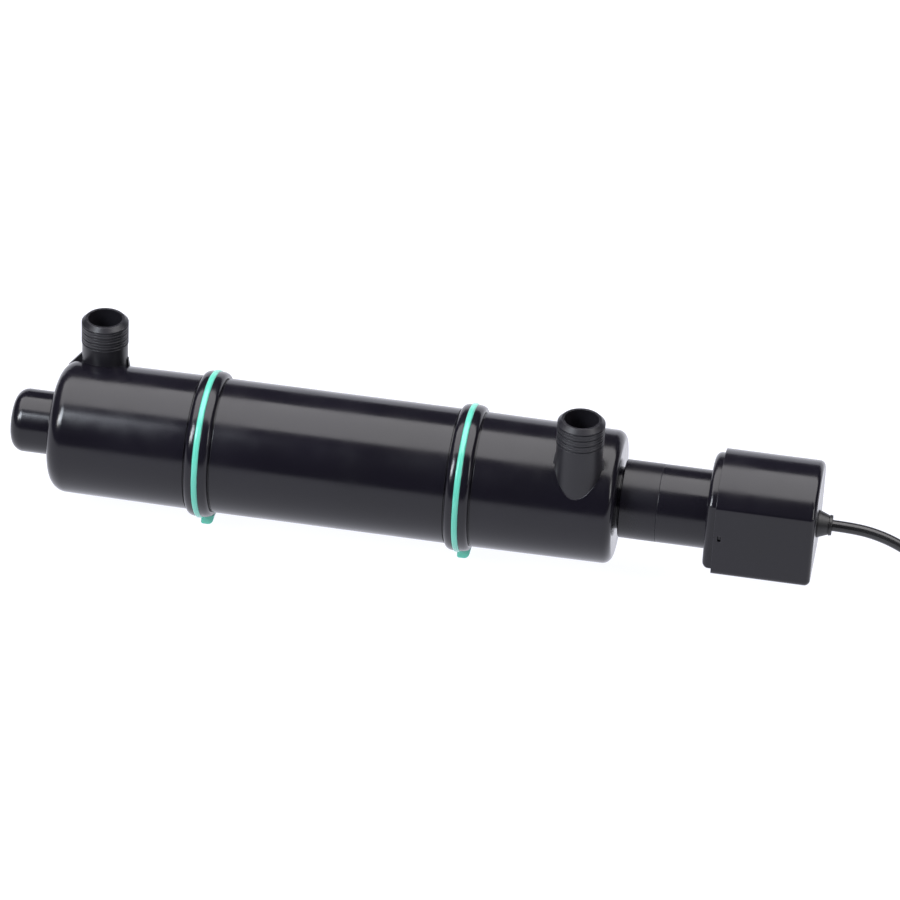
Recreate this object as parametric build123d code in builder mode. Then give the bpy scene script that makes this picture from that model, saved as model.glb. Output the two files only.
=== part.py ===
from build123d import *
import math
import os

# Inline ultraviolet water clarifier: a lamp housing in three sections, a lamp unit with its
# ballast, and a mains cord.
# Millimetres. +X runs along the tube from the closed boss to the ballast, +Z points up along the
# hose ports, and -Y is the front. The origin is on the floor, below the middle of the unit
# without its cord.

os.makedirs("parts", exist_ok=True)

# ---------------- driving dimensions
axis_height = 46.0              # tube axis above the floor the feet stand on
boss_reach = 185.0              # from the tube's middle to the boss's closed end
case_reach = 270.9              # from the tube's middle to the ballast case's end
middle = -42.35                 # X of the tube's middle, which puts the origin below the middle of the unit

tube_radius = 37.9
tube_bore = 34.4
head_end_radius = 37.3          # heads taper a little towards their ends
head_wall = 4.0
inlet_round = 9.5               # rounding of each head's closed end
outlet_round = 5.4

left_end = middle - 160.0       # closed ends of the two heads
right_end = middle + 160.0
left_joint = middle - 73.0      # middles of the two sight rings
right_joint = middle + 73.8
ring_width = 3.5
bead_radius = 41.2
socket_bead = 4.8               # bead width on the side facing the boss
spigot_bead = 5.0               # bead width on the side facing the ballast
lip_width = 0.9                 # undercut beside each bead
lip_depth = 0.9

boss_radius = 17.9
boss_round = 7.0
boss_bore = 15.0
boss_floor = 3.5

port_reach = 138.2              # port axes from the tube's middle
port_offset = 20.5              # port axes off the tube's centre plane
port_top = axis_height + 60.9
port_radius = 13.2              # 3/4 inch pipe thread, major
port_shank_radius = 12.9
port_depth = 5.0                # the port's lower end, above the tube's axis, before it is trimmed
port_bore = 9.7
thread_length = 15.0
thread_pitch = 1.8143           # 14 threads per inch

neck_radius = 17.35             # threaded neck on the outlet head
neck_length = 10.5
quartz_radius = 12.5
quartz_wall = 1.5
loose_fit = 0.3                 # radial gap between bodies that move past each other
snug_fit = 0.05                 # radial gap of a running fit

collar_radius = 21.9
collar_start = middle + 161.8
collar_end = middle + 182.8
plate_start = middle + 210.6    # cover plate of the ballast case
case_start = middle + 216.0
case_end = middle + case_reach
case_arc = 35.0                 # top of the case, round about the tube's axis
case_half_width = 29.0
case_drop = 24.5                # flat bottom of the case below the axis
case_wall = 3.2
case_end_wall = 2.4
cover_inset = 2.5

cord_radius = 3.2
gland_tip = middle + 278.7

tube_axis = Axis((0, 0, axis_height), (1, 0, 0))


def centre(x, y=0.0, z=0.0):
    """A point given by its X and its offsets from the tube's axis."""
    return (x, y, axis_height + z)


def across(x):
    """A plane across the tube at X, its local Z along +X, local X to the back and local Y up."""
    return Plane(origin=centre(x), x_dir=(0, 1, 0), z_dir=(1, 0, 0))


def profile(*points):
    """A closed outline in the XZ plane from (X, radius) pairs, for revolving about the tube's axis."""
    with BuildSketch(Plane.XZ) as outline:
        with BuildLine():
            Polyline(*[(x, axis_height + radius) for x, radius in points], close=True)
        make_face()
    return outline.sketch


def ring(start, stop, inner, outer):
    """A plain ring about the tube's axis."""
    with BuildPart() as made:
        with BuildSketch(across(start)):
            Circle(outer)
            if inner > 0:
                Circle(inner, mode=Mode.SUBTRACT)
        extrude(amount=stop - start)
    return made.part


def round_ring(x, radius, section):
    """A ring of round section about the tube's axis."""
    with BuildPart() as made:
        with BuildSketch(Plane.XZ):
            with Locations((x, axis_height + radius)):
                Circle(section)
        revolve(axis=tube_axis)
    return made.part


def bead_outline(face, outward, width):
    """Half of a joint's collar: one curve falling from the sight ring to a small upright lip."""
    end = face + outward * width
    with BuildSketch(Plane.XZ) as outline:
        with BuildLine():
            Line((face, axis_height + tube_bore + 1.0), (face, axis_height + bead_radius))
            Spline(
                (face, axis_height + bead_radius),
                (face + outward * width * 0.55, axis_height + bead_radius - 0.35),
                (end, axis_height + tube_radius + 1.0),
                tangents=[(outward, 0), (outward * 0.35, -1)],
            )
            Polyline(
                (end, axis_height + tube_radius + 1.0),
                (end, axis_height + tube_bore + 1.0),
                (face, axis_height + tube_bore + 1.0),
            )
        make_face()
    return outline.sketch


def lip_outline(face, outward, width):
    """The narrow undercut just outside a bead."""
    start = face + outward * width
    end = start + outward * lip_width
    return profile(
        (start, tube_radius - lip_depth),
        (end, tube_radius - lip_depth),
        (end, tube_radius + 2.0),
        (start, tube_radius + 2.0),
    )


def save(piece, name):
    """Label a finished piece and write it."""
    piece.label = name
    export_step(piece, f"parts/{name}.step")


# ---------------- housing: two heads and the tube between them
thread_start = port_top - thread_length


def pipe(x, y, bottom, top, radius):
    """An upright round bar at X, Y."""
    with BuildPart() as made:
        with BuildSketch(Plane.XY.offset(bottom)):
            with Locations((x, y)):
                Circle(radius)
        extrude(amount=top - bottom)
    return made.part


def threaded_end(x, y):
    """The port's threaded end: round ridges, every second groove deeper, and a chamfered mouth."""
    with BuildPart() as made:
        add(pipe(x, y, thread_start, port_top, port_radius))
        chamfer(made.edges().filter_by(GeomType.CIRCLE).group_by(Axis.Z)[-1], length=2.2)
        for number in range(int(thread_length / thread_pitch) - 1):
            depth = 0.25 if number % 2 else 0.55
            bottom = port_top - 3.4 - number * thread_pitch
            with BuildSketch(Plane.XY.offset(bottom)):
                with Locations((x, y)):
                    Circle(port_radius + 2)
                    Circle(port_radius - depth, mode=Mode.SUBTRACT)
            extrude(amount=thread_pitch * 0.5, mode=Mode.SUBTRACT)
    return made.part


def gusset(x, y, outward, run):
    """A thin triangular rib from a port's side down to the housing."""
    apex = 36.5
    root = 24.0
    side = x + outward * (port_shank_radius - 1.0)
    with BuildPart() as made:
        with BuildSketch(Plane.XZ.offset(-y)):
            with BuildLine():
                Polyline(
                    (side, axis_height + apex + 1.0),
                    (side + outward * 1.5, axis_height + apex),
                    (side + outward * run, axis_height + root),
                    (side, axis_height + root),
                    close=True,
                )
            make_face()
        extrude(amount=1.2, both=True)
    return made.part


def hose_port(x, y, left_run, right_run, housing_outside):
    """A hose port: threaded end, shank let into the housing's wall, and a gusset on each side."""
    with BuildPart() as made:
        add(gusset(x, y, -1, left_run))
        add(gusset(x, y, 1, right_run))
        add(housing_outside, mode=Mode.SUBTRACT)
        add(pipe(x, y, axis_height + port_depth, thread_start, port_shank_radius))
        add(threaded_end(x, y))
        add(ring(x - 2 * port_radius, x + 2 * port_radius, 0, tube_bore), mode=Mode.SUBTRACT)
        add(pipe(x, y, axis_height, port_top + 1, port_bore), mode=Mode.SUBTRACT)
    return made.part


inlet_x = middle - port_reach
outlet_x = middle + port_reach

ring_half = ring_width / 2
left_socket_face = left_joint - ring_half
left_spigot_face = left_joint + ring_half
right_socket_face = right_joint - ring_half
right_spigot_face = right_joint + ring_half

boss_end = middle - boss_reach
with BuildPart() as inlet_outside:
    revolve(
        profile(
            (boss_end, 0),
            (boss_end, boss_radius),
            (left_end, boss_radius),
            (left_end, head_end_radius),
            (left_socket_face, tube_radius),
            (left_socket_face, 0),
        ),
        axis=tube_axis,
    )
    rims = inlet_outside.edges().filter_by(GeomType.CIRCLE)
    fillet(rims.filter_by(lambda edge: abs(edge.radius - head_end_radius) < 0.01), inlet_round)
    fillet(inlet_outside.edges().filter_by(GeomType.CIRCLE).sort_by(Axis.X)[0], boss_round)

with BuildPart() as inlet_head:
    add(inlet_outside.part)
    revolve(bead_outline(left_socket_face, -1, socket_bead), axis=tube_axis)
    revolve(lip_outline(left_socket_face, -1, socket_bead), axis=tube_axis, mode=Mode.SUBTRACT)
    revolve(
        profile(
            (boss_end + boss_floor, 0),
            (boss_end + boss_floor, boss_bore),
            (left_end + head_wall, boss_bore),
            (left_end + head_wall, tube_bore - 6.0),
            (left_end + head_wall + 6.0, tube_bore),
            (left_socket_face, tube_bore),
            (left_socket_face, 0),
        ),
        axis=tube_axis,
        mode=Mode.SUBTRACT,
    )
    port_hole = pipe(inlet_x, port_offset, axis_height + port_depth, port_top, port_shank_radius + snug_fit)
    add(port_hole, mode=Mode.SUBTRACT)
save(inlet_head.part, "inlet_head")
save(hose_port(inlet_x, port_offset, 12.0, 3.5, inlet_outside.part), "inlet_port")

neck_end = right_end + neck_length
neck_bore = quartz_radius + loose_fit
seal_pocket = 15.4
seal_depth = 2.9
ridge_depth = 1.1
ridge_pitch = 3.0
with BuildPart() as outlet_outside:
    revolve(
        profile(
            (right_spigot_face, 0),
            (right_spigot_face, tube_radius),
            (right_end, head_end_radius),
            (right_end, neck_radius),
            (neck_end, neck_radius),
            (neck_end, 0),
        ),
        axis=tube_axis,
    )
    rims = outlet_outside.edges().filter_by(GeomType.CIRCLE)
    fillet(rims.filter_by(lambda edge: abs(edge.radius - head_end_radius) < 0.01), outlet_round)

with BuildPart() as outlet_head:
    add(outlet_outside.part)
    chamfer(outlet_head.edges().filter_by(GeomType.CIRCLE).sort_by(Axis.X)[-1], 0.8)
    revolve(bead_outline(right_spigot_face, 1, spigot_bead), axis=tube_axis)
    revolve(lip_outline(right_spigot_face, 1, spigot_bead), axis=tube_axis, mode=Mode.SUBTRACT)
    for number in range(3):
        groove = right_end + 0.9 + number * ridge_pitch
        groove_floor = neck_radius - ridge_depth
        add(ring(groove, groove + ridge_pitch / 2, groove_floor, neck_radius + 1), mode=Mode.SUBTRACT)
    revolve(
        profile(
            (right_spigot_face, 0),
            (right_spigot_face, tube_bore),
            (right_end - head_wall - 6.0, tube_bore),
            (right_end - head_wall, tube_bore - 6.0),
            (right_end - head_wall, neck_bore),
            (neck_end - seal_depth, neck_bore),
            (neck_end - seal_depth, seal_pocket),
            (neck_end, seal_pocket),
            (neck_end, 0),
        ),
        axis=tube_axis,
        mode=Mode.SUBTRACT,
    )
    hole_radius = port_shank_radius + snug_fit
    port_hole = pipe(outlet_x, -port_offset, axis_height + port_depth, port_top, hole_radius)
    add(port_hole, mode=Mode.SUBTRACT)
save(outlet_head.part, "outlet_head")
save(hose_port(outlet_x, -port_offset, 3.0, 3.0, outlet_outside.part), "outlet_port")

with BuildPart() as body_tube:
    add(ring(left_spigot_face, right_socket_face, tube_bore, tube_radius))
    revolve(bead_outline(left_spigot_face, 1, spigot_bead), axis=tube_axis)
    revolve(bead_outline(right_socket_face, -1, socket_bead), axis=tube_axis)
    revolve(lip_outline(left_spigot_face, 1, spigot_bead), axis=tube_axis, mode=Mode.SUBTRACT)
    revolve(lip_outline(right_socket_face, -1, socket_bead), axis=tube_axis, mode=Mode.SUBTRACT)
save(body_tube.part, "body_tube")

# ---------------- sight rings with their feet, and the joint seals
sleeve_reach = 12.0             # the ring's inner sleeve goes this far into each section
sleeve_outer = tube_bore - 0.1
sleeve_inner = 31.9
groove_reach = 7.0
groove_width = 2.2
groove_floor = 32.9
seal_section = 0.72
foot_half_width = 12.5
foot_length = 8.0
foot_flat = 3.4                 # the foot stands on this length, and curves up beyond it
foot_rise = 9.0
ring_round = 1.2


def foot_outline(start):
    """The foot's section along the tube: upright below the ring, flat underneath, then curving up."""
    top = axis_height - bead_radius + 12.0
    with BuildSketch(Plane.XZ) as outline:
        with BuildLine():
            end = start + foot_length
            Polyline((start, 1.2), (start, top), (end, top), (end, foot_rise))
            Spline(
                (start + foot_length, foot_rise),
                (start + foot_flat, 0),
                tangents=[(-0.25, -1), (-1, 0)],
            )
            Line((start + foot_flat, 0), (start + 1.2, 0))
            RadiusArc((start + 1.2, 0), (start, 1.2), 1.2)
        make_face()
    return outline.sketch


def rounded_band(joint):
    """The part of a sight ring that shows between two sections, its rim rounded."""
    band_radius = bead_radius + 0.7
    with BuildPart() as made:
        add(ring(joint - ring_half, joint + ring_half, sleeve_inner, band_radius))
        circles = made.edges().filter_by(GeomType.CIRCLE)
        fillet(circles.filter_by(lambda edge: abs(edge.radius - band_radius) < 0.01), ring_round)
    return made.part


def sight_ring(joint):
    """A translucent ring clamped between two sections, with a sleeve inside both and a foot below."""
    with BuildPart() as made:
        extrude(foot_outline(joint - ring_half + 0.1), amount=foot_half_width, both=True)
        bottom_sides = made.edges().filter_by(Axis.X).group_by(Axis.Z)[0]
        fillet(bottom_sides, 0.6)
        add(ring(joint - 20, joint + 20, 0, bead_radius + 0.15), mode=Mode.SUBTRACT)
        add(rounded_band(joint))
        add(ring(joint - sleeve_reach, joint + sleeve_reach, sleeve_inner, sleeve_outer))
        for side in (-1, 1):
            place = joint + side * groove_reach
            cutter = ring(place - groove_width / 2, place + groove_width / 2, groove_floor, tube_radius)
            add(cutter, mode=Mode.SUBTRACT)
    return made.part


for side_name, joint in (("left", left_joint), ("right", right_joint)):
    save(sight_ring(joint), f"{side_name}_sight_ring")
    for seal_name, side in (("inner", -1), ("outer", 1)):
        seal = round_ring(joint + side * groove_reach, groove_floor + 0.03 + seal_section, seal_section)
        save(seal, f"{side_name}_joint_{seal_name}_oring")

# ---------------- quartz sleeve and what holds it
quartz_tip = middle - 177.0
quartz_mouth = middle + 184.0
quartz_round = 6.0              # domed closed end of the sleeve
with BuildPart() as quartz_hollow:
    add(ring(quartz_tip + quartz_wall, quartz_mouth + 1, 0, quartz_radius - quartz_wall))
    fillet(quartz_hollow.edges().filter_by(GeomType.CIRCLE).sort_by(Axis.X)[0], quartz_round - quartz_wall)

with BuildPart() as quartz_sleeve:
    add(ring(quartz_tip, quartz_mouth, 0, quartz_radius))
    fillet(quartz_sleeve.edges().filter_by(GeomType.CIRCLE).sort_by(Axis.X)[0], quartz_round)
    add(quartz_hollow.part, mode=Mode.SUBTRACT)
save(quartz_sleeve.part, "quartz_sleeve")

seat_start = boss_end + boss_floor + 0.05
with BuildPart() as sleeve_seat:
    add(ring(seat_start, quartz_tip + 10.0, 0, boss_bore - 0.1))
    add(ring(quartz_tip - 0.1, quartz_tip + 11.0, 0, quartz_radius + 0.1), mode=Mode.SUBTRACT)
    with BuildSketch(across(seat_start - 1)):
        with PolarLocations(boss_bore, 4):
            Circle(1.6)
    extrude(amount=20, mode=Mode.SUBTRACT)
save(sleeve_seat.part, "sleeve_seat")

sleeve_oring_section = 1.3
sleeve_oring_x = neck_end - seal_depth + 0.1 + sleeve_oring_section
sleeve_oring = round_ring(sleeve_oring_x, quartz_radius + 0.05 + sleeve_oring_section, sleeve_oring_section)
save(sleeve_oring, "sleeve_oring")

# ---------------- compression washer and lock collar
washer_start = neck_end + 0.15
washer_end = washer_start + 2.0
thrust_washer = ring(washer_start, washer_end, quartz_radius + loose_fit, 17.0)
save(thrust_washer, "thrust_washer")

spigot_radius = 16.1
spigot_start = middle + 174.9
shoulder_start = washer_end + 0.15
shoulder_end = spigot_start - 0.3
with BuildPart() as lock_collar:
    add(ring(collar_start, collar_end, 0, collar_radius))
    chamfer(lock_collar.edges().filter_by(GeomType.CIRCLE).sort_by(Axis.X)[0], 0.6)
    chamfer(lock_collar.edges().filter_by(GeomType.CIRCLE).sort_by(Axis.X)[-1], 0.1)
    add(ring(collar_start - 1, shoulder_start, 0, neck_radius + loose_fit), mode=Mode.SUBTRACT)
    add(ring(shoulder_start - 1, shoulder_end + 1, 0, quartz_radius + 0.9), mode=Mode.SUBTRACT)
    add(ring(shoulder_end, collar_end + 1, 0, spigot_radius + loose_fit), mode=Mode.SUBTRACT)
save(lock_collar.part, "lock_collar")

# ---------------- ballast cover with its neck, and the ballast case
cover_neck_start = collar_end + 0.1
neck_hollow = 16.0
grommet_pocket = 14.0
grommet_start = middle + 179.6
grommet_end = middle + 183.6


def case_outline(plane, shrink):
    """The case's section, made smaller by shrink: a round top, flat sides and a flat bottom."""
    arc = case_arc - shrink
    half = case_half_width - shrink
    bottom = -case_drop + shrink
    shoulder = math.sqrt(arc**2 - half**2)
    with BuildSketch(plane) as outline:
        with BuildLine():
            ThreePointArc((half, shoulder), (0, arc), (-half, shoulder))
            Polyline((-half, shoulder), (-half, bottom), (half, bottom), (half, shoulder))
        make_face()
        fillet(outline.vertices().group_by(Axis.Z)[0], max(4.0 - shrink, 0.8))
    return outline.sketch


latch_x = case_start + 3.2
latch_z = 0.3
latch_length = 2.0
latch_height = 3.6
rim_inset = case_wall + 0.15
rim_thick = 1.8
rim_length = 8.0
gasket_start = case_start + 5.4
gasket_width = 1.6
gasket_depth = 0.7
hook_reach = 2.2                # how far a latch hook stands out of the rim
with BuildPart() as ballast_cover:
    extrude(case_outline(across(plate_start), cover_inset), amount=case_start - plate_start)
    fillet(ballast_cover.faces().sort_by(Axis.X)[0].edges(), 3.4)
    add(ring(cover_neck_start, plate_start + 1, 0, collar_radius))
    chamfer(ballast_cover.edges().filter_by(GeomType.CIRCLE).sort_by(Axis.X)[0], 0.1)
    add(ring(spigot_start, cover_neck_start + 1, 0, spigot_radius))
    extrude(case_outline(across(case_start), rim_inset), amount=rim_length)
    extrude(case_outline(across(case_start), rim_inset + rim_thick), amount=rim_length, mode=Mode.SUBTRACT)
    extrude(case_outline(across(gasket_start), rim_inset - 1), amount=gasket_width, mode=Mode.SUBTRACT)
    gasket_plane = across(gasket_start)
    extrude(case_outline(gasket_plane, rim_inset + gasket_depth), amount=gasket_width)
    extrude(
        case_outline(gasket_plane, rim_inset + rim_thick),
        amount=gasket_width,
        mode=Mode.SUBTRACT,
    )
    add(ring(spigot_start - 1, case_start + 1, 0, quartz_radius + 0.9), mode=Mode.SUBTRACT)
    add(ring(grommet_start, case_start + 1, 0, grommet_pocket), mode=Mode.SUBTRACT)
    add(ring(cover_neck_start + 4.0, case_start + 1, 0, neck_hollow), mode=Mode.SUBTRACT)
    for side in (-1, 1):
        with BuildSketch(across(latch_x - latch_length / 2 + 0.2)):
            with Locations((side * (case_half_width - rim_inset + (hook_reach - rim_thick) / 2), latch_z)):
                Rectangle(rim_thick + hook_reach, latch_height - 0.5)
        extrude(amount=latch_length - 0.4)
save(ballast_cover.part, "ballast_cover")

with BuildPart() as cover_gasket:
    extrude(case_outline(across(gasket_start + 0.05), case_wall + 0.05), amount=gasket_width - 0.1)
    inner_line = rim_inset + gasket_depth - 0.05
    extrude(case_outline(across(gasket_start), inner_line), amount=gasket_width, mode=Mode.SUBTRACT)
save(cover_gasket.part, "cover_gasket")

board_top = -16.0               # below the tube's axis
board_thick = 1.6
board_start = case_start + 9.0
board_length = 41.0
board_width = 48.0
board_centre = board_start + board_length / 2
hole_x = board_length / 2 - 3.5
hole_y = board_width / 2 - 3.5
board_corners = [(board_centre + sx * hole_x, sy * hole_y) for sx in (-1, 1) for sy in (-1, 1)]
post_top = axis_height + board_top - board_thick
case_floor = axis_height - case_drop + case_wall
post_radius = 3.2
screw_radius = 1.45

gland_barrel = 5.9
with BuildPart() as ballast_case:
    extrude(case_outline(across(case_start), 0), amount=case_end - case_start)
    fillet(ballast_case.faces().sort_by(Axis.X)[-1].edges(), 3.2)
    hollow_length = case_end - case_start - case_end_wall
    extrude(case_outline(across(case_start), case_wall), amount=hollow_length, mode=Mode.SUBTRACT)
    with BuildSketch(Plane.XZ):
        with Locations((latch_x, axis_height + latch_z)):
            Rectangle(latch_length, latch_height)
    extrude(amount=case_half_width + 1, both=True, mode=Mode.SUBTRACT)
    with BuildSketch(across(case_end - case_end_wall - 1)):
        Circle(gland_barrel + 0.1)
    extrude(amount=case_end_wall + 2, mode=Mode.SUBTRACT)
    with BuildSketch(Plane.XY.offset(case_floor - 1)):
        with Locations(*board_corners):
            Circle(post_radius)
    extrude(amount=post_top - case_floor + 1)
    with BuildSketch(Plane.XY.offset(case_floor - 0.5)):
        with Locations(*board_corners):
            Circle(screw_radius + 0.05)
    extrude(amount=post_top - case_floor + 1, mode=Mode.SUBTRACT)
save(ballast_case.part, "ballast_case")

grommet = ring(grommet_start + 0.1, grommet_end, quartz_radius + snug_fit, grommet_pocket - 0.1)
save(grommet, "sleeve_grommet")

# ---------------- lamp
lamp_radius = 8.0
lamp_tip = middle - 164.0
glass_start = middle - 160.0
glass_end = middle + 188.0
base_start = middle + 184.6
base_end = middle + 198.0
pin_circle = 4.2
pin_radius = 1.15
pin_length = 8.0
with BuildPart() as lamp_tube:
    add(ring(glass_start, glass_end, 0, lamp_radius))
    fillet(lamp_tube.edges().filter_by(GeomType.CIRCLE), 2.0)
    add(ring(glass_start + 1.0, glass_end - 1.0, 0, lamp_radius - 1.0), mode=Mode.SUBTRACT)
save(lamp_tube.part, "lamp_tube")

with BuildPart() as lamp_far_cap:
    add(ring(lamp_tip, glass_start + 9.0, 0, lamp_radius + 1.4))
    fillet(lamp_far_cap.edges().filter_by(GeomType.CIRCLE).sort_by(Axis.X)[0], 1.5)
    add(ring(glass_start - 0.05, glass_start + 10, 0, lamp_radius + 0.1), mode=Mode.SUBTRACT)
save(lamp_far_cap.part, "lamp_far_cap")

with BuildPart() as lamp_base:
    add(ring(base_start, base_end, 0, lamp_radius + 1.8))
    fillet(lamp_base.edges().filter_by(GeomType.CIRCLE).sort_by(Axis.X)[0], 0.8)
    add(ring(base_start - 1, glass_end + 0.05, 0, lamp_radius + 0.1), mode=Mode.SUBTRACT)
    with BuildSketch(across(base_end - 4)):
        with PolarLocations(pin_circle, 4, start_angle=45):
            Circle(pin_radius)
    extrude(amount=5, mode=Mode.SUBTRACT)
save(lamp_base.part, "lamp_base")

with BuildPart() as lamp_pins:
    with BuildSketch(across(base_end - 3.95)):
        with PolarLocations(pin_circle, 4, start_angle=45):
            Circle(pin_radius)
    extrude(amount=3.95 + pin_length)
    fillet(lamp_pins.faces().filter_by(Plane.YZ).group_by(Axis.X)[-1].edges(), 0.5)
save(lamp_pins.part, "lamp_pins")

wire_section = 0.45
wire_offset = lamp_radius + 0.1 + wire_section
with BuildPart() as return_wires:
    with BuildSketch(across(glass_start + 9.05)):
        with Locations((wire_offset, 0), (-wire_offset, 0)):
            Circle(wire_section)
    extrude(amount=base_start - glass_start - 9.1)
save(return_wires.part, "lamp_return_wires")

with BuildPart() as lamp_filaments:
    for start, stop in ((glass_start + 1.05, glass_start + 16), (glass_end - 16, glass_end - 1.05)):
        for y in (-2.6, 2.6):
            with BuildSketch(across(start)):
                with Locations((y, 0)):
                    Circle(0.5)
            extrude(amount=stop - start)
        end = stop if start < middle else start
        with BuildSketch(Plane(origin=centre(end, -3.6), x_dir=(1, 0, 0), z_dir=(0, 1, 0))):
            Circle(0.9)
        extrude(amount=7.2)
save(lamp_filaments.part, "lamp_filaments")

# ---------------- lamp socket and contacts
socket_start = base_end + 0.2
socket_end = case_start - 0.5
with BuildPart() as lamp_socket:
    add(ring(socket_start, socket_end, 0, neck_hollow - 0.1))
    with BuildSketch(across(socket_start - 1)):
        with PolarLocations(pin_circle, 4, start_angle=45):
            Circle(pin_radius + 0.07)
    extrude(amount=socket_end - socket_start + 2, mode=Mode.SUBTRACT)
save(lamp_socket.part, "lamp_socket")

contact_start = base_end + pin_length + 0.4
contact_end = socket_end + 5.0
with BuildPart() as socket_contacts:
    with BuildSketch(across(contact_start)):
        with PolarLocations(pin_circle, 4, start_angle=45):
            Circle(pin_radius)
    extrude(amount=contact_end - contact_start)
save(socket_contacts.part, "socket_contacts")

# ---------------- ballast board and its parts
def block(x, y, length, width, height, rounding=0.6):
    """A rounded block standing on the board."""
    with BuildPart() as made:
        with BuildSketch(Plane.XY.offset(axis_height + board_top)):
            with Locations((x, y)):
                Rectangle(length, width)
        extrude(amount=height)
        fillet(made.faces().sort_by(Axis.Z)[-1].edges(), rounding)
    return made.part


def can(x, y, radius, height):
    """A round component standing on the board."""
    with BuildPart() as made:
        with BuildSketch(Plane.XY.offset(axis_height + board_top)):
            with Locations((x, y)):
                Circle(radius)
        extrude(amount=height)
        fillet(made.faces().sort_by(Axis.Z)[-1].edges(), 0.6)
    return made.part


with BuildPart() as ballast_board:
    with BuildSketch(Plane.XY.offset(post_top)):
        with Locations((board_centre, 0)):
            RectangleRounded(board_length, board_width, 2.0)
        with Locations(*board_corners):
            Circle(screw_radius + 0.15, mode=Mode.SUBTRACT)
    extrude(amount=board_thick)
save(ballast_board.part, "ballast_board")

screw_bottom = case_floor + 0.1
with BuildPart() as board_screws:
    with BuildSketch(Plane.XY.offset(post_top + board_thick)):
        with Locations(*board_corners):
            Circle(2.8)
    extrude(amount=1.6)
    with BuildSketch(Plane.XY.offset(screw_bottom)):
        with Locations(*board_corners):
            Circle(screw_radius)
    extrude(amount=post_top + board_thick - screw_bottom)
save(board_screws.part, "board_screws")

with BuildPart() as ballast_choke:
    add(block(board_centre - 6, 0, 18.0, 20.0, 16.0, 1.0))
save(ballast_choke.part, "ballast_choke")

with BuildPart() as choke_winding:
    with BuildSketch(Plane.XY.offset(axis_height + board_top + 16.05)):
        with Locations((board_centre - 6, 0)):
            RectangleRounded(11.0, 17.0, 2.0)
    extrude(amount=4.0)
    fillet(choke_winding.faces().sort_by(Axis.Z)[-1].edges(), 1.2)
save(choke_winding.part, "choke_winding")

with BuildPart() as board_capacitors:
    add(can(board_centre + 10, 14.0, 5.0, 17.0))
    add(can(board_centre - 2, 17.0, 4.0, 12.0))
    add(block(board_centre - 4, -17.0, 13.0, 6.0, 11.0))
save(board_capacitors.part, "board_capacitors")

with BuildPart() as board_transistors:
    for y in (-5.0, 3.5):
        add(block(board_centre + 9, y, 4.5, 7.0, 14.0, 0.5))
save(board_transistors.part, "board_transistors")

terminal_x = board_centre + 7.5
terminal_y = -15.0
terminal_height = 8.0
with BuildPart() as terminal_block:
    add(block(terminal_x, terminal_y, 8.0, 10.0, terminal_height, 0.8))
save(terminal_block.part, "terminal_block")


def wire(points, radii, radius):
    """A round wire or cord along straight runs joined by tangent arcs."""
    with BuildPart() as made:
        with BuildLine() as path:
            FilletPolyline(*points, radius=radii)
        with BuildSketch(Plane(origin=path.line @ 0, z_dir=path.line % 0)):
            Circle(radius)
        sweep(path=path.line)
    return made.part


lead_radius = 0.8
landing_gap = 0.05
with BuildPart() as lamp_leads:
    for turn in (45, 135, 225, 315):
        y = pin_circle * math.cos(math.radians(turn))
        z = pin_circle * math.sin(math.radians(turn))
        reach = contact_end + (8.4 if z > 0 else 6.0)
        lead = wire(
            [
                centre(contact_end + landing_gap, y, z),
                centre(reach, y, z),
                centre(reach, y, board_top + landing_gap),
            ],
            [1.6],
            lead_radius,
        )
        add(lead)
save(lamp_leads.part, "lamp_leads")

# ---------------- cord gland
gland_flange_end = case_end - case_end_wall - 0.1
gland_inner = case_end - 12.0
with BuildPart() as cord_gland:
    revolve(
        profile(
            (gland_inner, 0),
            (gland_inner, 5.2),
            (gland_flange_end - 2.2, 5.2),
            (gland_flange_end - 2.2, 7.4),
            (gland_flange_end, 7.4),
            (gland_flange_end, gland_barrel),
            (case_end + 0.1, gland_barrel),
            (case_end + 0.1, 7.75),
            (gland_tip - 1.6, 5.35),
            (gland_tip - 1.6, 5.9),
            (gland_tip, 5.6),
            (gland_tip, 0),
        ),
        axis=tube_axis,
    )
save(cord_gland.part, "cord_gland")

with BuildPart() as mains_leads:
    for y, reach in ((-2.0, 5.0), (2.0, 8.5)):
        lead = wire(
            [
                centre(gland_inner - landing_gap, y),
                centre(gland_inner - reach, y),
                centre(gland_inner - reach, terminal_y),
                centre(gland_inner - reach, terminal_y, board_top + terminal_height + landing_gap),
            ],
            [1.2, 1.6],
            lead_radius,
        )
        add(lead)
save(mains_leads.part, "mains_leads")

# ---------------- mains cord: the stretch to the coil, the coil, the tail
cord_width = 2 * cord_radius
coil_turn_radius = 33.0         # middle of the turns
coil_rows = 3                   # turns side by side
coil_layers = 4
coil_x = middle + 363.0
coil_outer = coil_turn_radius + coil_rows * cord_radius
coil_inner = coil_turn_radius - coil_rows * cord_radius
coil_height = coil_layers * cord_width
coil_y = coil_outer - cord_radius
top_turn = coil_height - cord_radius


def corner_radii(points):
    """The largest arcs that the runs beside each corner leave room for."""
    radii = []
    for before, corner, after in zip(points, points[1:], points[2:]):
        first = Vector(*corner) - Vector(*before)
        second = Vector(*after) - Vector(*corner)
        turn = math.radians(first.get_angle(second))
        radii.append(0.45 * min(first.length, second.length) / math.tan(turn / 2))
    return radii


def cord_tube(points, name):
    """A stretch of the mains cord."""
    radii = corner_radii(points)
    tube = wire(points, radii, cord_radius)
    length = tube.volume / (math.pi * cord_radius**2)
    print(name, "radii", [round(radius, 1) for radius in radii], "length", round(length, 1))
    return tube


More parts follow.
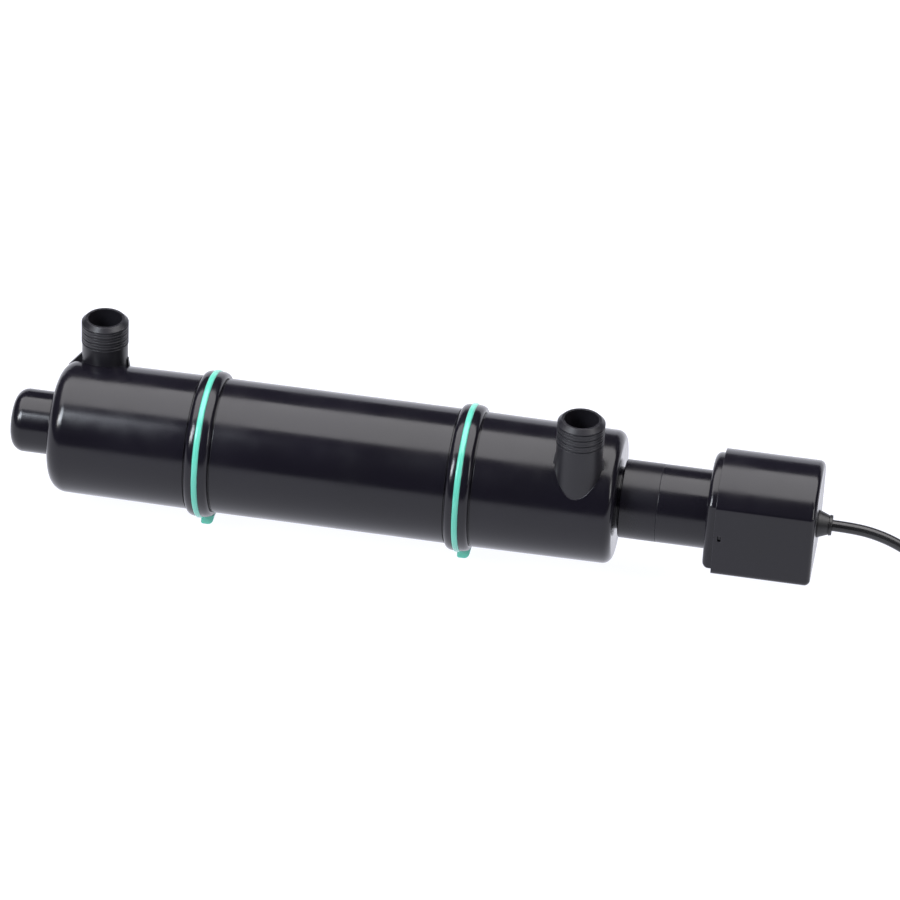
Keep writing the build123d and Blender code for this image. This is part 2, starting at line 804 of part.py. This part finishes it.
exit_route = [
    (gland_tip, 0.0, axis_height),
    (gland_tip + 13.0, 0.0, axis_height),
    (gland_tip + 27.0, 0.0, axis_height - 2.6),
    (gland_tip + 40.0, 0.0, axis_height - 8.0),
    (gland_tip + 52.0, 0.0, axis_height - 15.4),
    (gland_tip + 64.5, 0.0, top_turn + 3.4),
    (gland_tip + 77.5, 0.0, top_turn + 0.4),
    (coil_x + 1.5, 0.0, top_turn),
]
save(cord_tube(exit_route, "power_cord"), "power_cord")

with BuildPart() as cord_coil:
    with BuildSketch(Plane.XY):
        with Locations((coil_x, coil_y)):
            Circle(coil_outer)
            Circle(coil_inner, mode=Mode.SUBTRACT)
    extrude(amount=coil_height)
    fillet(cord_coil.edges().filter_by(GeomType.CIRCLE), cord_radius * 0.9)
save(cord_coil.part, "cord_coil")

plug_x = coil_x + 52.0
plug_height = 9.5               # plug's middle above the floor
plug_entry = 49.0
bend = 38.0
bend_steps = 5
bend_first = 8.5
bend_step = 17.0
rise = (plug_height - cord_radius) / bend_steps
tail_route = [(coil_x + 2.0, 0.0, cord_radius)]
for number in range(bend_steps):
    turn = math.radians(bend_first + number * bend_step)
    along = plug_x - bend + bend * math.sin(turn)
    tail_route.append((along, bend - bend * math.cos(turn), cord_radius + number * rise))
tail_route.append((plug_x, bend + 1.5, plug_height))
tail_route.append((plug_x, plug_entry, plug_height))
save(cord_tube(tail_route, "cord_tail"), "cord_tail")

tie_width = 8.0
tie_thick = 1.2
with BuildPart() as coil_tie:
    tie_centre = (coil_x, coil_y + coil_turn_radius, coil_height / 2)
    with BuildSketch(Plane(origin=tie_centre, x_dir=(0, 1, 0), z_dir=(1, 0, 0))):
        reach = coil_rows * cord_width + 1.0
        height = coil_height
        RectangleRounded(reach + 2 * tie_thick, height + 2 * tie_thick, cord_radius)
        RectangleRounded(reach, height + 0.2, cord_radius * 0.8, mode=Mode.SUBTRACT)
    extrude(amount=tie_width / 2, both=True)
    split(bisect_by=Plane.XY.offset(0.0), keep=Keep.TOP)
save(coil_tie.part, "coil_tie")

# ---------------- mains plug
relief_length = 11.0
shoulder_length = 11.0
plug_length = 27.0
plug_half_width = 13.0
blade_length = 17.0


def plug_section(distance):
    """A plane across the plug, so far past the cord's entry."""
    return Plane(origin=(plug_x, plug_entry + distance, plug_height), x_dir=(-1, 0, 0), z_dir=(0, 1, 0))


with BuildPart() as plug_body:
    with BuildSketch(plug_section(0)):
        Circle(4.2)
    with BuildSketch(plug_section(relief_length)):
        Circle(6.2)
    loft()
    with BuildSketch(plug_section(relief_length)):
        RectangleRounded(1.3 * plug_half_width, 2 * plug_height - 3, 5.0)
    with BuildSketch(plug_section(relief_length + shoulder_length)):
        RectangleRounded(2 * plug_half_width, 2 * plug_height, 6.0)
    loft()
    with BuildSketch(plug_section(relief_length + shoulder_length)):
        RectangleRounded(2 * plug_half_width, 2 * plug_height, 6.0)
    extrude(amount=plug_length - shoulder_length)
    fillet(plug_body.faces().sort_by(Axis.Y)[-1].edges(), 1.2)
save(plug_body.part, "plug_body")

with BuildPart() as plug_pins:
    with BuildSketch(plug_section(relief_length + plug_length + 0.02)):
        with Locations((-6.35, 2.5), (6.35, 2.5)):
            Rectangle(1.5, 6.3)
        with Locations((0, -5.0)):
            Circle(2.4)
    extrude(amount=blade_length)
save(plug_pins.part, "plug_pins")
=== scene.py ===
"""Looks of the inline ultraviolet water clarifier: camera, studio, mains cord and materials."""

import math

import bpy
from mathutils import Matrix, Vector


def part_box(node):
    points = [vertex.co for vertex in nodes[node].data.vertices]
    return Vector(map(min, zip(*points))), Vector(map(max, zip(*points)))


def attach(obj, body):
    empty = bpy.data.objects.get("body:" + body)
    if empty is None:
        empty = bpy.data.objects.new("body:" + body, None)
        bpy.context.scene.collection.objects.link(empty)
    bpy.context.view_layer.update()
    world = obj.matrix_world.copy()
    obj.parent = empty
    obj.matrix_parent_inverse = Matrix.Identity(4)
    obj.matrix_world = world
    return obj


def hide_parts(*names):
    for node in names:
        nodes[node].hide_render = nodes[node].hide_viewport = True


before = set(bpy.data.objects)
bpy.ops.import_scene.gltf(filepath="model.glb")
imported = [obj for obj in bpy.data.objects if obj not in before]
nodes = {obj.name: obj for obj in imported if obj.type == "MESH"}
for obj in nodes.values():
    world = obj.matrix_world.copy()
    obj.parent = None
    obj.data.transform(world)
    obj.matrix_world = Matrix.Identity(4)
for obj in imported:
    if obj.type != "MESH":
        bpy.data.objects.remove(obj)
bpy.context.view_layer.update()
scene = bpy.context.scene
scene.view_settings.view_transform = "Standard"

# ---------------- places worked out from the frame
boss_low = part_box("inlet_head")[0]
coil_low, coil_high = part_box("cord_coil")
cord_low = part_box("power_cord")[0]
gland_low, gland_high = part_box("cord_gland")

axis_height = (gland_low.z + gland_high.z) / 2
cord_radius = -cord_low.y


# ---------------- camera
VIEW_TURN = math.radians(8.408)     # about the vertical, towards the ballast's side
VIEW_TILT = math.radians(32.558)    # down from level
VIEW_ROLL = math.radians(2.89)
VIEW_DISTANCE = 2.61785
VIEW_LENS = 187.12
# the picture's centre, from the boss's closed end on the axis
AIM_PAST_BOSS = Vector((0.2464, 0.0140, 0.0076))


def place_camera():
    """Point the camera at the unit from above its front, a little to the ballast's side."""
    ahead = Vector((
        -math.sin(VIEW_TURN) * math.cos(VIEW_TILT),
        math.cos(VIEW_TURN) * math.cos(VIEW_TILT),
        -math.sin(VIEW_TILT),
    ))
    level = Vector((math.cos(VIEW_TURN), math.sin(VIEW_TURN), 0))
    upright = level.cross(ahead)
    right = math.cos(VIEW_ROLL) * level + math.sin(VIEW_ROLL) * upright
    up = -math.sin(VIEW_ROLL) * level + math.cos(VIEW_ROLL) * upright
    aim = Vector((boss_low.x, 0, axis_height)) + AIM_PAST_BOSS
    data = bpy.data.cameras.new("camera")
    data.lens = VIEW_LENS
    data.sensor_width = 36
    data.clip_end = 50
    camera = bpy.data.objects.new("camera", data)
    turned = Matrix((right, up, -ahead)).transposed().to_4x4()
    camera.matrix_world = Matrix.Translation(aim - VIEW_DISTANCE * ahead) @ turned
    scene.collection.objects.link(camera)
    scene.camera = camera


place_camera()

# ---------------- mains cord
COIL_ROWS = 3
COIL_LAYERS = 4
POINTS_PER_TURN = 24
CROSSING = 0.25                     # share of a turn over which the cord moves to the next row or layer
# past the gland's tip, and below the tube's axis
EXIT_ROUTE = ((0, 0), (0.0130, 0), (0.0270, 0.0026), (0.0400, 0.0080), (0.0520, 0.0154))
# past the gland's tip, and above the coil's top turn
COIL_APPROACH = ((0.0645, 0.0034), (0.0775, 0.0004))
COIL_ENTRY = 0.0015                 # past the coil's middle, where the winding starts
TAIL_ENTRY = 0.002                  # past the coil's middle, where the tail starts
TAIL_BEND = 0.038
TAIL_STEPS = 5
TAIL_STEP_TURN = 17                 # degrees
TAIL_RUN_OUT = 0.0015               # straight stretch after the bend

coil_centre = (coil_low + coil_high) / 2
coil_outer = (coil_high.x - coil_low.x) / 2 - cord_radius
top_turn = coil_high.z - cord_radius


def exit_points():
    """The stretch from the gland down to the top of the coil, as in part.py."""
    tip = gland_high.x
    points = [(tip + past, 0, axis_height - below) for past, below in EXIT_ROUTE]
    points += [(tip + past, 0, top_turn + above) for past, above in COIL_APPROACH]
    points.append((coil_centre.x + COIL_ENTRY, 0, top_turn))
    return points


def eased(share):
    """From 0 to 1 along a smooth step."""
    share = min(max(share, 0.0), 1.0)
    return share * share * (3 - 2 * share)


def coil_points():
    """Turns wound inwards on the top layer, outwards on the next, and so on down to the floor."""
    half_step = math.pi / POINTS_PER_TURN
    turns = COIL_ROWS * COIL_LAYERS
    points = []
    for step in range(1, turns * POINTS_PER_TURN):
        turn, part = divmod(step, POINTS_PER_TURN)
        moved = eased((part / POINTS_PER_TURN - 1 + CROSSING) / CROSSING)
        layer, place = divmod(turn, COIL_ROWS)
        inwards = layer % 2 == 0
        row = place if inwards else COIL_ROWS - 1 - place
        if place < COIL_ROWS - 1:
            row += moved if inwards else -moved
            drop = layer
        else:
            drop = layer + (moved if turn < turns - 1 else 0)
        radius = (coil_outer - row * 2 * cord_radius) / math.cos(half_step)
        angle = 2 * step * half_step
        points.append((
            coil_centre.x + radius * math.sin(angle),
            coil_centre.y - radius * math.cos(angle),
            top_turn - drop * 2 * cord_radius,
        ))
    return points


def tail_points():
    """The stretch from the coil's bottom turn round to the plug, as in part.py."""
    plug_low, plug_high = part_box("plug_body")
    plug_x = (plug_low.x + plug_high.x) / 2
    plug_height = (plug_low.z + plug_high.z) / 2
    rise = (plug_height - cord_radius) / TAIL_STEPS
    points = [(coil_centre.x + TAIL_ENTRY, 0, cord_radius)]
    for number in range(TAIL_STEPS):
        turn = math.radians(TAIL_STEP_TURN * (number + 0.5))
        along = plug_x - TAIL_BEND + TAIL_BEND * math.sin(turn)
        aside = TAIL_BEND - TAIL_BEND * math.cos(turn)
        points.append((along, aside, cord_radius + number * rise))
    points.append((plug_x, TAIL_BEND + TAIL_RUN_OUT, plug_height))
    points.append((plug_x, plug_low.y, plug_height))
    return points


def make_cord():
    """The whole mains cord as one curve."""
    curve = bpy.data.curves.new("mains_cord", "CURVE")
    curve.dimensions = "3D"
    # each point's radius is the cord's, so that the curve's box is the cord's too
    curve.bevel_depth = 1.0
    curve.bevel_resolution = 8
    curve.resolution_u = 6
    curve.use_fill_caps = True
    spline = curve.splines.new("NURBS")
    route = exit_points() + coil_points() + tail_points()
    spline.points.add(len(route) - 1)
    for point, place in zip(spline.points, route):
        point.co = (*place, 1)
        point.radius = cord_radius
    spline.order_u = 3
    spline.use_endpoint_u = True
    cord = bpy.data.objects.new("mains_cord", curve)
    scene.collection.objects.link(cord)
    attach(cord, "lamp_unit")
    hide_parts("power_cord", "cord_coil", "cord_tail")


make_cord()


# ---------------- material kit
BEVEL_SAMPLES = 6
WEAR_AND_HIGHLIGHT_LIFT = 0.02                    # how much paler an edge is made, partly wear and partly a painted highlight, beside its own factor


class Material:
    """A procedural material: one Principled shader, with short ways to add to it."""

    def __init__(self, name, **sockets):
        self.material = bpy.data.materials.new(name)
        self.material.use_nodes = True
        self.tree = self.material.node_tree
        self.shader = self.tree.nodes["Principled BSDF"]
        for socket, value in sockets.items():
            self.shader.inputs[socket.replace("_", " ")].default_value = value
        self.place = self.node("ShaderNodeTexCoord").outputs["Object"]
        self.normal = None

    def node(self, kind, **settings):
        made = self.tree.nodes.new(kind)
        for name, value in settings.items():
            setattr(made, name, value)
        return made

    def join(self, source, target):
        self.tree.links.new(source, target)

    def stretched(self, x, y, z):
        """Object coordinates stretched along the axes, for grain that runs one way."""
        mapping = self.node("ShaderNodeMapping")
        mapping.inputs["Scale"].default_value = (x, y, z)
        self.join(self.place, mapping.inputs["Vector"])
        return mapping.outputs["Vector"]

    def noise(self, scale, detail=2.0, roughness=0.5, place=None):
        made = self.node("ShaderNodeTexNoise")
        made.inputs["Scale"].default_value = scale
        made.inputs["Detail"].default_value = detail
        made.inputs["Roughness"].default_value = roughness
        self.join(place or self.place, made.inputs["Vector"])
        return made.outputs["Fac"]

    def spread(self, source, low, high, start=0.3, stop=0.7):
        """A value from low to high as source goes from start to stop."""
        made = self.node("ShaderNodeMapRange")
        for name, value in (("From Min", start), ("From Max", stop), ("To Min", low), ("To Max", high)):
            made.inputs[name].default_value = value
        self.join(source, made.inputs["Value"])
        return made.outputs["Result"]

    def tint(self, source, first, second):
        """A colour between first and second."""
        made = self.node("ShaderNodeMix", data_type="RGBA")
        made.inputs["A"].default_value = (*first, 1)
        made.inputs["B"].default_value = (*second, 1)
        self.join(source, made.inputs["Factor"])
        return made.outputs["Result"]

    def edges(self, radius, share=1.0):
        """1 on edges and 0 on open faces: the mask for paler edges, partly wear and partly a painted
        highlight.
        """
        bevel = self.node("ShaderNodeBevel", samples=BEVEL_SAMPLES)
        bevel.inputs["Radius"].default_value = radius
        plain = self.node("ShaderNodeNewGeometry").outputs["Normal"]
        dot = self.node("ShaderNodeVectorMath", operation="DOT_PRODUCT")
        self.join(bevel.outputs["Normal"], dot.inputs[0])
        self.join(plain, dot.inputs[1])
        return self.spread(dot.outputs["Value"], share, 0.0, 0.90, 0.998)

    def rounded(self, radius):
        """Soften hard edges in the shading."""
        bevel = self.node("ShaderNodeBevel", samples=BEVEL_SAMPLES)
        bevel.inputs["Radius"].default_value = radius
        self.normal = bevel.outputs["Normal"]

    def bump(self, source, height, strength=1.0):
        made = self.node("ShaderNodeBump")
        made.inputs["Strength"].default_value = strength
        made.inputs["Distance"].default_value = height
        self.join(source, made.inputs["Height"])
        if self.normal is not None:
            self.join(self.normal, made.inputs["Normal"])
        self.normal = made.outputs["Normal"]

    def colour(self, source):
        self.join(source, self.shader.inputs["Base Color"])

    def finish(self):
        if self.normal is not None:
            self.join(self.normal, self.shader.inputs["Normal"])
        return self.material


def moulded(name, first, second, rough, grain, edge, wear_and_highlight_factor):
    """Moulded plastic or rubber: colour drift, uneven gloss, a fine skin and paler edges, partly wear and
    partly a painted highlight.
    """
    made = Material(name)
    drift = made.noise(18, 3)
    base = made.tint(made.spread(drift, 0, 1), first, second)
    # paler edge colour: partly wear, partly a painted highlight along the edges
    wear_and_highlight = made.node("ShaderNodeMix", data_type="RGBA")
    made.join(base, wear_and_highlight.inputs["A"])
    wear_and_highlight.inputs["B"].default_value = (*[wear_and_highlight_factor * part + WEAR_AND_HIGHLIGHT_LIFT for part in second], 1)
    made.join(made.edges(edge), wear_and_highlight.inputs["Factor"])
    made.colour(wear_and_highlight.outputs["Result"])
    made.join(made.spread(made.noise(45, 4), *rough), made.shader.inputs["Roughness"])
    made.rounded(edge)
    made.bump(made.noise(900, 3), grain)
    return made


# ---------------- materials
BLACK = (0.0060, 0.0053, 0.0088)
BLACK_DEEP = (0.0049, 0.0044, 0.0069)
BLACK_IOR = 1.41


def housing_black():
    """Glossy black moulding with faint flow marks along the tube."""
    made = moulded("housing_black", BLACK_DEEP, BLACK, (0.13, 0.24), 0.000006, 0.0005, 1.5)
    made.shader.inputs["IOR"].default_value = BLACK_IOR
    made.bump(made.noise(30, 4, 0.6, place=made.stretched(0.25, 1, 1)), 0.00025, 0.25)
    return made.finish()


def port_black():
    """Satin black of the hose ports."""
    deep = (0.0085, 0.0080, 0.0105)
    pale = (0.011, 0.0105, 0.0135)
    made = moulded("port_black", deep, pale, (0.3, 0.42), 0.00003, 0.0003, 2.0)
    made.shader.inputs["IOR"].default_value = BLACK_IOR
    return made.finish()


def collar_black():
    """Satin black of the lock collar."""
    made = moulded("collar_black", BLACK_DEEP, BLACK, (0.24, 0.34), 0.00001, 0.0002, 1.5)
    made.shader.inputs["IOR"].default_value = BLACK_IOR
    return made.finish()


def case_black():
    """Glossy black of the ballast case and its cover."""
    made = moulded("case_black", BLACK_DEEP, BLACK, (0.16, 0.26), 0.000008, 0.0005, 1.5)
    made.shader.inputs["IOR"].default_value = BLACK_IOR
    return made.finish()


def rubber_black(name, rough):
    """Black rubber with a dull bloom."""
    deep = (0.010, 0.010, 0.011)
    pale = (0.015, 0.0148, 0.0155)
    return moulded(name, deep, pale, rough, 0.00002, 0.0003, 1.6).finish()


def sight_green():
    """Translucent green plastic of the sight rings."""
    made = moulded("sight_green", (0.085, 0.43, 0.32), (0.12, 0.51, 0.39), (0.12, 0.2), 0.00001, 0.0004, 1.1)
    made.shader.inputs["Subsurface Weight"].default_value = 0.35
    made.shader.inputs["Subsurface Radius"].default_value = (0.002, 0.006, 0.005)
    made.shader.inputs["Subsurface Scale"].default_value = 1.0
    return made.finish()


def glass(name, tint, rough):
    """Clear glass with a little waviness and uneven gloss."""
    made = Material(name, Transmission_Weight=1.0, IOR=1.46, Base_Color=(*tint, 1))
    made.join(made.spread(made.noise(60, 4), *rough), made.shader.inputs["Roughness"])
    made.bump(made.noise(25, 2), 0.00005, 0.4)
    return made.finish()


def metal(name, first, second, rough):
    """Drawn or plated metal with fine scratches along X and dulled patches."""
    made = Material(name, Metallic=1.0)
    made.colour(made.tint(made.spread(made.noise(120, 4), 0, 1), first, second))
    made.join(made.spread(made.noise(300, 3), *rough), made.shader.inputs["Roughness"])
    made.rounded(0.0002)
    made.bump(made.noise(700, 2, place=made.stretched(0.1, 1, 1)), 0.00001)
    return made.finish()


def board_green():
    """Circuit board: green mask with a fine grain."""
    made = Material("board_green")
    made.colour(made.tint(made.spread(made.noise(80, 3), 0, 1), (0.010, 0.075, 0.030), (0.016, 0.11, 0.045)))
    made.join(made.spread(made.noise(200, 3), 0.25, 0.4), made.shader.inputs["Roughness"])
    made.rounded(0.0002)
    made.bump(made.noise(1500, 2), 0.00002)
    return made.finish()


def dress(material, *names):
    """Give nodes or pieces one material."""
    for name in names:
        piece = nodes.get(name) or bpy.data.objects[name]
        piece.data.materials.clear()
        piece.data.materials.append(material)


# name, first and second colour, roughness range, height of the skin, edge radius, paler edge factor (wear
# and painted highlight), nodes
INNER_MOULDINGS = (
    ("washer_pale", (0.55, 0.53, 0.48), (0.64, 0.62, 0.57), (0.35, 0.5), 0.00001, 0.0003, 1.2,
     ("thrust_washer", "sleeve_seat")),
    ("lamp_cap_ceramic", (0.70, 0.68, 0.63), (0.78, 0.76, 0.71), (0.3, 0.45), 0.00001, 0.0003, 1.1,
     ("lamp_far_cap", "lamp_base")),
    ("socket_white", (0.62, 0.61, 0.58), (0.70, 0.69, 0.66), (0.3, 0.45), 0.00001, 0.0003, 1.1,
     ("lamp_socket",)),
    ("ferrite_grey", (0.030, 0.030, 0.032), (0.045, 0.045, 0.047), (0.5, 0.65), 0.00003, 0.0003, 1.8,
     ("ballast_choke",)),
    ("winding_tape", (0.50, 0.36, 0.05), (0.60, 0.45, 0.07), (0.25, 0.4), 0.00001, 0.0002, 1.1,
     ("choke_winding",)),
    ("capacitor_blue", (0.012, 0.020, 0.060), (0.018, 0.030, 0.085), (0.2, 0.32), 0.00001, 0.0003, 1.5,
     ("board_capacitors",)),
    ("epoxy_black", (0.012, 0.012, 0.013), (0.018, 0.018, 0.019), (0.4, 0.55), 0.00002, 0.0002, 1.8,
     ("board_transistors",)),
    ("terminal_plastic", (0.03, 0.16, 0.07), (0.04, 0.20, 0.09), (0.3, 0.45), 0.00001, 0.0003, 1.4,
     ("terminal_block",)),
    ("lead_insulation", (0.42, 0.40, 0.36), (0.50, 0.48, 0.44), (0.4, 0.5), 0.00001, 0.0002, 1.1,
     ("lamp_leads", "mains_leads")),
)
# name, roughness range, nodes
RUBBERS = (
    ("seal_rubber", (0.5, 0.65),
     ("left_joint_inner_oring", "left_joint_outer_oring", "right_joint_inner_oring",
      "right_joint_outer_oring", "sleeve_oring", "cover_gasket", "sleeve_grommet")),
    ("gland_rubber", (0.34, 0.46), ("cord_gland",)),
    ("plug_rubber", (0.36, 0.5), ("plug_body",)),
    ("tie_nylon", (0.3, 0.42), ("coil_tie",)),
    ("cord_skin", (0.16, 0.26), ("mains_cord",)),
)

brass = metal("contact_brass", (0.60, 0.42, 0.16), (0.78, 0.58, 0.27), (0.18, 0.35))
nickel = metal("pin_nickel", (0.55, 0.54, 0.50), (0.72, 0.70, 0.66), (0.15, 0.3))

dress(housing_black(), "inlet_head", "body_tube", "outlet_head")
dress(port_black(), "inlet_port", "outlet_port")
dress(sight_green(), "left_sight_ring", "right_sight_ring")
dress(collar_black(), "lock_collar")
dress(case_black(), "ballast_cover", "ballast_case")
dress(glass("quartz", (0.98, 0.99, 1.0), (0.02, 0.06)), "quartz_sleeve")
dress(glass("lamp_glass", (0.95, 0.97, 1.0), (0.03, 0.08)), "lamp_tube")
dress(nickel, "lamp_pins", "lamp_return_wires", "lamp_filaments", "board_screws")
dress(brass, "socket_contacts", "plug_pins")
dress(board_green(), "ballast_board")
for *look, names in INNER_MOULDINGS:
    dress(moulded(*look).finish(), *names)
for name, rough, names in RUBBERS:
    dress(rubber_black(name, rough), *names)


# ---------------- studio
FLOOR_FRONT = 3.0                   # how far the floor reaches in front of the unit
PALE_FRONT = 0.40                   # how far in front its glow starts to fade
DIM_FRONT = 1.10                    # how far in front it has faded
DIM_GLOW = 0.12                     # the glow that is left there
FLOOR_DROP = 0.0004                 # the floor lies this far below the feet
FLOOR_SIDE = 3.0
FLOOR_BACK = 3.2
BACKDROP_RISE = 0.95
LIGHT_HEIGHT = 1.5


def make_backdrop():
    """A plain pale floor that curves up into a low backdrop, glowing a little so that shadows stay soft."""
    curve_steps = 8
    curve_radius = 0.4
    line = [(-FLOOR_FRONT, -FLOOR_DROP), (-PALE_FRONT, -FLOOR_DROP)]
    for step in range(curve_steps + 1):
        turn = step * math.pi / 2 / curve_steps
        along = FLOOR_BACK - curve_radius + curve_radius * math.sin(turn)
        line.append((along, curve_radius - curve_radius * math.cos(turn)))
    line.append((FLOOR_BACK, BACKDROP_RISE))
    places = [(side * FLOOR_SIDE, y, z) for y, z in line for side in (-1, 1)]
    faces = [(2 * row, 2 * row + 1, 2 * row + 3, 2 * row + 2) for row in range(len(line) - 1)]
    data = bpy.data.meshes.new("backdrop")
    data.from_pydata(places, [], faces)
    data.shade_smooth()
    backdrop = bpy.data.objects.new("backdrop", data)
    scene.collection.objects.link(backdrop)
    made = Material("backdrop_paper", Roughness=0.9, Specular_IOR_Level=0.0)
    made.colour(made.tint(made.noise(3, 2), (0.09, 0.09, 0.09), (0.11, 0.11, 0.11)))
    made.shader.inputs["Emission Color"].default_value = (0.97, 0.98, 1.08, 1)
    split = made.node("ShaderNodeSeparateXYZ")
    made.join(made.place, split.inputs["Vector"])
    glow = made.spread(split.outputs["Y"], DIM_GLOW, 1.0, -DIM_FRONT, -PALE_FRONT)
    made.join(glow, made.shader.inputs["Emission Strength"])
    backdrop.data.materials.append(made.finish())


def softbox(name, place, aim, width, height, radiance, colour=(1, 1, 1)):
    """A rectangular studio light of even brightness."""
    data = bpy.data.lights.new(name, "AREA")
    data.shape = "RECTANGLE"
    data.size = width
    data.size_y = height
    data.energy = radiance * math.pi * width * height
    data.color = colour
    light = bpy.data.objects.new(name, data)
    direction = Vector(aim) - Vector(place)
    light.location = place
    light.rotation_euler = direction.to_track_quat("-Z", "Y").to_euler()
    scene.collection.objects.link(light)


def make_studio():
    """A large softbox overhead, two lights at the front left and a strip at the right."""
    world = bpy.data.worlds.new("studio")
    world.use_nodes = True
    world.node_tree.nodes["Background"].inputs["Color"].default_value = (0.035, 0.035, 0.045, 1)
    scene.world = world
    front = -0.55
    back = 0.98
    middle = (front + back) / 2
    softbox(
        "overhead",
        place=(0, middle, LIGHT_HEIGHT),
        aim=(0, middle, 0),
        width=3.2,
        height=back - front,
        radiance=4.3,
        colour=(1, 0.985, 1),
    )
    left_end = (boss_low.x, 0, axis_height)
    softbox(
        "front_left",
        place=(-0.88, -1.00, 1.12),
        aim=left_end,
        width=0.50,
        height=0.64,
        radiance=22.0,
        colour=(0.86, 0.92, 1.0),
    )
    softbox(
        "left_strip",
        place=(-1.25, -1.05, 0.95),
        aim=left_end,
        width=0.40,
        height=0.50,
        radiance=14.0,
    )
    softbox(
        "right_strip",
        place=(1.7, -0.6, 0.8),
        aim=(0, 0, axis_height),
        width=0.3,
        height=0.9,
        radiance=8.0,
    )


make_backdrop()
make_studio()
